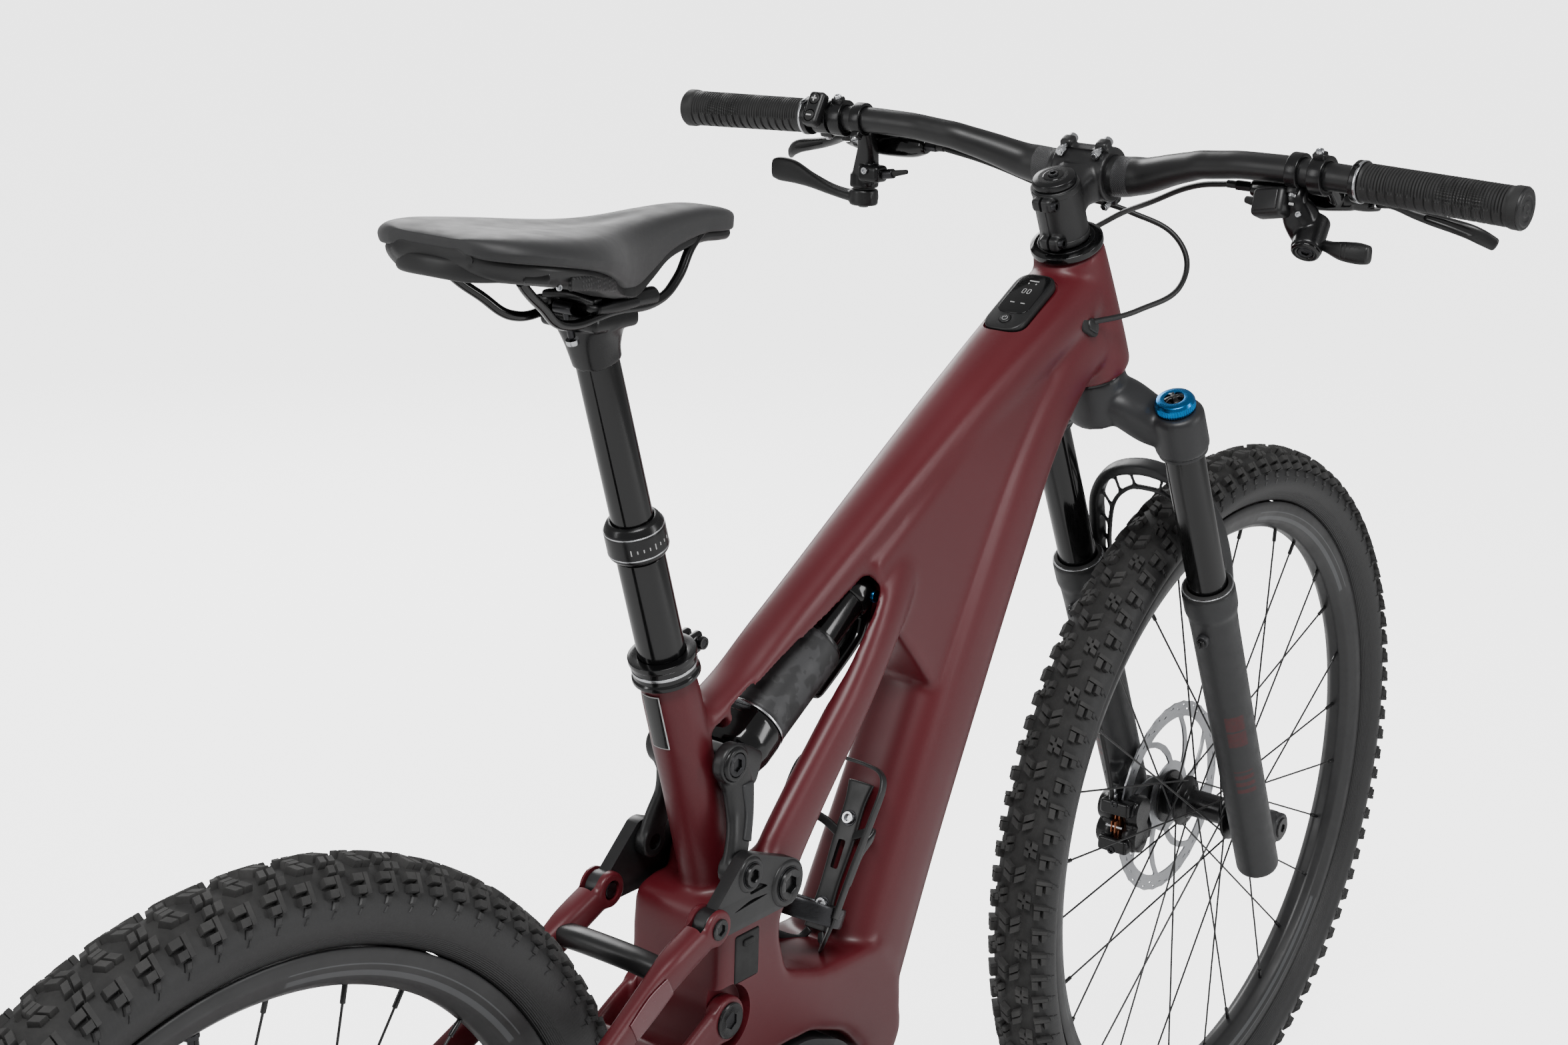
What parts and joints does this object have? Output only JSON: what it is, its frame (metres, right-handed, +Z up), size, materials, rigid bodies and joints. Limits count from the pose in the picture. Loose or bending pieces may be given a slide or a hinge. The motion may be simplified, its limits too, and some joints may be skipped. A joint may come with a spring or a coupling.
{
  "type": "full-suspension mountain bike",
  "caption": "Full-suspension electric-assist mountain bike with a mid motor, dropper seatpost, telescopic fork, disc brakes and a linkage-driven rear shock.",
  "frame": {"origin": "on the ground, halfway between the two ends of the bike, on the plane of the wheels", "axes": "+X forward, +Y to the rider's left, +Z up"},
  "size_m": [1.992, 0.807, 1.0941],
  "materials": {
    "frame_paint": "satin",
    "gloss_black": "gloss",
    "satin_black": "satin",
    "charcoal": "satin",
    "plastic_black": "matte",
    "display": "gloss",
    "grip_rubber": "matte",
    "tyre_rubber": "matte",
    "rotor_steel": "brushed",
    "alloy": "satin",
    "blue_alloy": "anodised",
    "saddle_cover": "matte"
  },
  "bodies": {
    "frame": {"main_frame": "frame_paint", "seat_clamp": "gloss_black", "headset_cup": "gloss_black", "motor_unit": "charcoal", "display_unit": "display", "seatpost_tube": "gloss_black", "bottle_cage": "satin_black", "chain": "alloy"},
    "charge_door": {"charge_door": "grip_rubber"},
    "power_button": {"power_button": "plastic_black"},
    "seatpost_upper": {"dropper_stanchion": "gloss_black", "saddle_rails": "satin_black", "saddle": "saddle_cover"},
    "steering": {"fork_crown": "charcoal", "stem": "satin_black", "stem_faceplate": "satin_black", "stem_cap": "satin_black", "handlebar": "satin_black", "grip_right": "grip_rubber", "grip_left": "grip_rubber", "brake_clamp_right": "gloss_black", "brake_clamp_left": "gloss_black", "shifter": "plastic_black", "remote": "plastic_black", "dropper_mount": "plastic_black", "hose_right": "plastic_black", "hose_left": "plastic_black"},
    "damper_knob": {"damper_knob": "blue_alloy"},
    "brake_lever_right": {"brake_lever_right": "alloy"},
    "brake_lever_left": {"brake_lever_left": "alloy"},
    "shift_lever": {"shift_lever": "plastic_black"},
    "dropper_lever": {"dropper_lever": "plastic_black"},
    "plus_button": {"plus_button": "grip_rubber"},
    "minus_button": {"minus_button": "grip_rubber"},
    "fork_lower": {"fork_lowers": "charcoal", "front_caliper": "gloss_black"},
    "front_wheel": {"front_hub": "gloss_black", "front_rim": "satin_black", "front_tyre": "tyre_rubber", "front_rotor": "rotor_steel"},
    "swingarm": {"chainstays": "frame_paint"},
    "seatstay": {"seatstays": "frame_paint", "rear_caliper": "gloss_black", "derailleur": "satin_black"},
    "derailleur_cage": {"derailleur_cage": "satin_black"},
    "rear_wheel": {"rear_hub": "gloss_black", "rear_rim": "satin_black", "rear_tyre": "tyre_rubber", "rear_rotor": "rotor_steel"},
    "cassette": {"cassette": "alloy"},
    "rocker": {"rocker_right": "satin_black", "rocker_left": "satin_black"},
    "shock": {"shock_can": "charcoal", "shock_yoke": "satin_black"},
    "shock_damper": {"shock_damper": "gloss_black"},
    "crankset": {"crank_right": "satin_black", "crank_left": "satin_black", "chainring": "alloy"},
    "pedal_right": {"pedal_right": "satin_black"},
    "pedal_left": {"pedal_left": "satin_black"}
  },
  "joints": [
    {"name": "rear_suspension", "type": "hinge", "parent": "frame", "child": "swingarm", "pos_m": [-0.212, 0, 0.4707], "axis": [0, 1, 0], "range_deg": [0, 18.8], "deforming": ["chain"]},
    {"name": "horst_pivot", "type": "hinge", "parent": "swingarm", "child": "seatstay", "pos_m": [-0.576, 0, 0.2858], "axis": [0, 1, 0], "range_deg": [-7, 0]},
    {"name": "rocker_pivot", "type": "hinge", "parent": "frame", "child": "rocker", "pos_m": [-0.1604, 0, 0.5664], "axis": [0, 1, 0], "range_deg": [0, 34.5]},
    {"name": "yoke_pivot", "type": "hinge", "parent": "rocker", "child": "shock", "pos_m": [-0.205, 0, 0.588], "axis": [0, 1, 0], "range_deg": [-31.5, 0]},
    {"name": "shock_stroke", "type": "slide", "parent": "shock", "child": "shock_damper", "axis": [-0.9063, 0, -0.4226], "range_m": [0, 0.03]},
    {"name": "rear_wheel_spin", "type": "hinge", "parent": "seatstay", "child": "rear_wheel", "pos_m": [-0.64, 0, 0.356], "axis": [0, 1, 0], "continuous": true},
    {"name": "freewheel_spin", "type": "hinge", "parent": "seatstay", "child": "cassette", "pos_m": [-0.64, 0, 0.356], "axis": [0, 1, 0], "continuous": true},
    {"name": "derailleur_cage_swing", "type": "hinge", "parent": "seatstay", "child": "derailleur_cage", "pos_m": [-0.623, 0, 0.246], "axis": [0, 1, 0], "range_deg": [-30, 8], "deforming": ["chain"]},
    {"name": "steering", "type": "hinge", "parent": "frame", "child": "steering", "pos_m": [0.28208, 0, 0.98501], "axis": [-0.4305, 0, 0.9026], "range_deg": [-55, 55], "deforming": ["hose_right", "hose_left"]},
    {"name": "fork_stroke", "type": "slide", "parent": "steering", "child": "fork_lower", "axis": [-0.4305, 0, 0.9026], "range_m": [0, 0.15]},
    {"name": "front_wheel_spin", "type": "hinge", "parent": "fork_lower", "child": "front_wheel", "pos_m": [0.623, 0, 0.373], "axis": [0, 1, 0], "continuous": true},
    {"name": "damper_knob_turn", "type": "hinge", "parent": "steering", "child": "damper_knob", "pos_m": [0.36618, -0.069, 0.84121], "axis": [-0.4305, 0, 0.9026], "range_deg": [-150, 150]},
    {"name": "brake_lever_right_pull", "type": "hinge", "parent": "steering", "child": "brake_lever_right", "pos_m": [0.323, -0.262, 1.048], "axis": [0, 0, -1], "range_deg": [0, 16]},
    {"name": "brake_lever_left_pull", "type": "hinge", "parent": "steering", "child": "brake_lever_left", "pos_m": [0.323, 0.262, 1.048], "axis": [0, 0, 1], "range_deg": [0, 16]},
    {"name": "shift_lever_push", "type": "hinge", "parent": "steering", "child": "shift_lever", "pos_m": [0.283, -0.218, 1.017], "axis": [0, 0, 1], "range_deg": [0, 22]},
    {"name": "dropper_lever_push", "type": "hinge", "parent": "steering", "child": "dropper_lever", "pos_m": [0.297, 0.224, 1.02], "axis": [0, 0, -1], "range_deg": [0, 18]},
    {"name": "plus_button_press", "type": "slide", "parent": "steering", "child": "plus_button", "axis": [0.8832, 0, -0.4691], "range_m": [0, 0.0008]},
    {"name": "minus_button_press", "type": "slide", "parent": "steering", "child": "minus_button", "axis": [0.8832, 0, -0.4691], "range_m": [0, 0.0008]},
    {"name": "power_button_press", "type": "slide", "parent": "frame", "child": "power_button", "axis": [0.5, 0, -0.866], "range_m": [0, 0.0008]},
    {"name": "charge_door_swing", "type": "hinge", "parent": "frame", "child": "charge_door", "pos_m": [-0.191, -0.045, 0.496], "axis": [1, 0, 0], "range_deg": [0, 95]},
    {"name": "seatpost_drop", "type": "slide", "parent": "frame", "child": "seatpost_upper", "axis": [-0.3099, 0, 0.9508], "range_m": [-0.12, 0]},
    {"name": "crank_spin", "type": "hinge", "parent": "frame", "child": "crankset", "pos_m": [-0.199, 0, 0.35], "axis": [0, 1, 0], "continuous": true},
    {"name": "pedal_right_spin", "type": "hinge", "parent": "crankset", "child": "pedal_right", "pos_m": [-0.034, 0, 0.35], "axis": [0, 1, 0], "continuous": true},
    {"name": "pedal_left_spin", "type": "hinge", "parent": "crankset", "child": "pedal_left", "pos_m": [-0.364, 0, 0.35], "axis": [0, 1, 0], "continuous": true}
  ],
  "couplings": [
    {"joint": "rocker_pivot", "follows": "rear_suspension", "ratio": 1.8086},
    {"joint": "horst_pivot", "follows": "rear_suspension", "ratio": -0.3412},
    {"joint": "yoke_pivot", "follows": "rear_suspension", "ratio": -1.651},
    {"joint": "shock_stroke", "follows": "rear_suspension", "m_per_rad": 0.090361}
  ]
}
